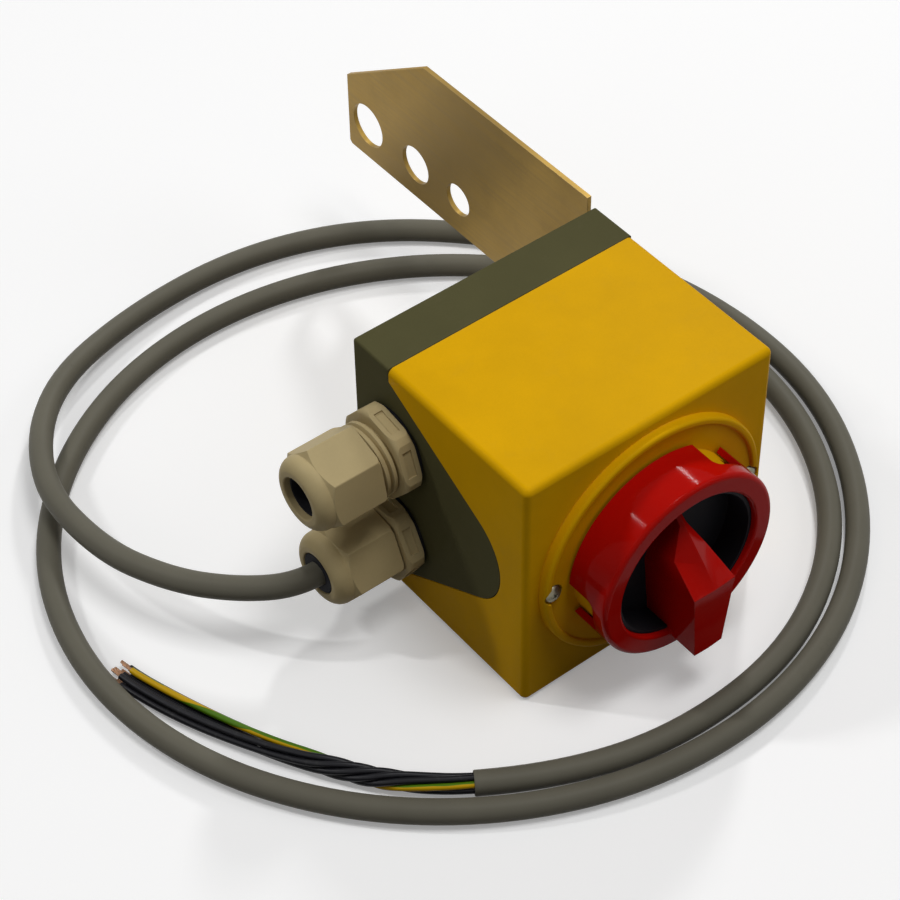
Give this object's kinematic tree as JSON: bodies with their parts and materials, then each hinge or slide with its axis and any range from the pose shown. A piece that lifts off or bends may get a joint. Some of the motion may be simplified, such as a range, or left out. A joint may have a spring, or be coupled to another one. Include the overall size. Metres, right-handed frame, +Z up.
{
  "type": "maintenance isolator switch",
  "caption": "Enclosed rotary isolator with a red ring handle, round front plate, cable glands, a loose looped cable with stripped cores and a folded drilled bracket.",
  "frame": {"origin": "centre of the enclosure's bottom face, on the surface that it stands on", "axes": "+Z up, the handle faces -Y, the cable glands face -X and the bracket runs back along +Y"},
  "size_m": [0.2412, 0.2471, 0.0866],
  "materials": {
    "yellow_plastic": "smooth satin moulding",
    "grey_plastic": "fine matt moulding",
    "red_plastic": "glossy moulding",
    "black_plastic": "matt moulding",
    "gland_plastic": "satin moulding",
    "black_rubber": "matt rubber",
    "bracket_steel": "brushed and passivated sheet",
    "spring_steel": "drawn wire",
    "zinc_steel": "bright zinc plating",
    "switch_plastic": "matt thermoset",
    "cam_plastic": "natural polyamide",
    "contact_brass": "plain",
    "cable_grey": "smooth sheath",
    "core_black": "smooth insulation",
    "core_green_yellow": "smooth insulation with two colours",
    "conductor_copper": "stranded bare copper"
  },
  "bodies": {
    "enclosure": {"base": "grey_plastic", "black_cores": "core_black", "bracket_arm": "bracket_steel", "bracket_foot": "bracket_steel", "bracket_nuts": "zinc_steel", "bracket_screws": "zinc_steel", "cable_entry": "cable_grey", "cable_sheath": "cable_grey", "contacts_front": "contact_brass", "contacts_rear": "contact_brass", "core_ends": "conductor_copper", "cover": "yellow_plastic", "cover_gasket": "black_rubber", "cover_screws": "zinc_steel", "deck_front": "switch_plastic", "deck_rear": "switch_plastic", "earth_core": "core_green_yellow", "earth_screw": "zinc_steel", "earth_terminal": "contact_brass", "end_plate": "switch_plastic", "front_plate": "yellow_plastic", "hub_seal": "black_rubber", "latch_housing": "switch_plastic", "latch_springs": "spring_steel", "lower_gland_body": "gland_plastic", "lower_gland_locknut": "gland_plastic", "lower_gland_nut": "gland_plastic", "lower_gland_seal": "black_rubber", "lower_gland_washer": "black_rubber", "mounting_screws": "zinc_steel", "spring_front_lower": "spring_steel", "spring_front_upper": "spring_steel", "spring_rear_lower": "spring_steel", "spring_rear_upper": "spring_steel", "terminal_screws": "zinc_steel", "tie_screws": "zinc_steel", "upper_gland_body": "gland_plastic", "upper_gland_locknut": "gland_plastic", "upper_gland_nut": "gland_plastic", "upper_gland_seal": "black_rubber", "upper_gland_washer": "black_rubber"},
    "handle": {"handle": "red_plastic", "handle_liner": "black_plastic", "hub_ring": "spring_steel", "shaft": "zinc_steel", "latch_block": "cam_plastic", "cam_front": "cam_plastic", "cam_rear": "cam_plastic"},
    "plunger_front_upper": {"plunger_front_upper": "cam_plastic", "bridge_front_upper": "contact_brass"},
    "plunger_front_lower": {"plunger_front_lower": "cam_plastic", "bridge_front_lower": "contact_brass"},
    "plunger_rear_upper": {"plunger_rear_upper": "cam_plastic", "bridge_rear_upper": "contact_brass"},
    "plunger_rear_lower": {"plunger_rear_lower": "cam_plastic", "bridge_rear_lower": "contact_brass"}
  },
  "joints": [
    {"name": "handle_turn", "type": "hinge", "parent": "enclosure", "child": "handle", "pos_m": [0, 0, 0.042], "axis": [0, 1, 0], "range_deg": [-90, 0], "deforming": ["latch_springs"]},
    {"name": "lift_front_upper", "type": "slide", "parent": "enclosure", "child": "plunger_front_upper", "axis": [0, 0, 1], "range_m": [0, 0.00405], "deforming": ["spring_front_upper"]},
    {"name": "lift_front_lower", "type": "slide", "parent": "enclosure", "child": "plunger_front_lower", "axis": [0, 0, -1], "range_m": [0, 0.00405], "deforming": ["spring_front_lower"]},
    {"name": "lift_rear_upper", "type": "slide", "parent": "enclosure", "child": "plunger_rear_upper", "axis": [0, 0, 1], "range_m": [0, 0.00405], "deforming": ["spring_rear_upper"]},
    {"name": "lift_rear_lower", "type": "slide", "parent": "enclosure", "child": "plunger_rear_lower", "axis": [0, 0, -1], "range_m": [0, 0.00405], "deforming": ["spring_rear_lower"]}
  ],
  "couplings": [
    {"joint": "lift_front_upper", "follows": "handle_turn", "m_per_rad": -0.0025465},
    {"joint": "lift_front_lower", "follows": "handle_turn", "m_per_rad": -0.0025465},
    {"joint": "lift_rear_upper", "follows": "handle_turn", "m_per_rad": -0.0025465},
    {"joint": "lift_rear_lower", "follows": "handle_turn", "m_per_rad": -0.0025465}
  ]
}
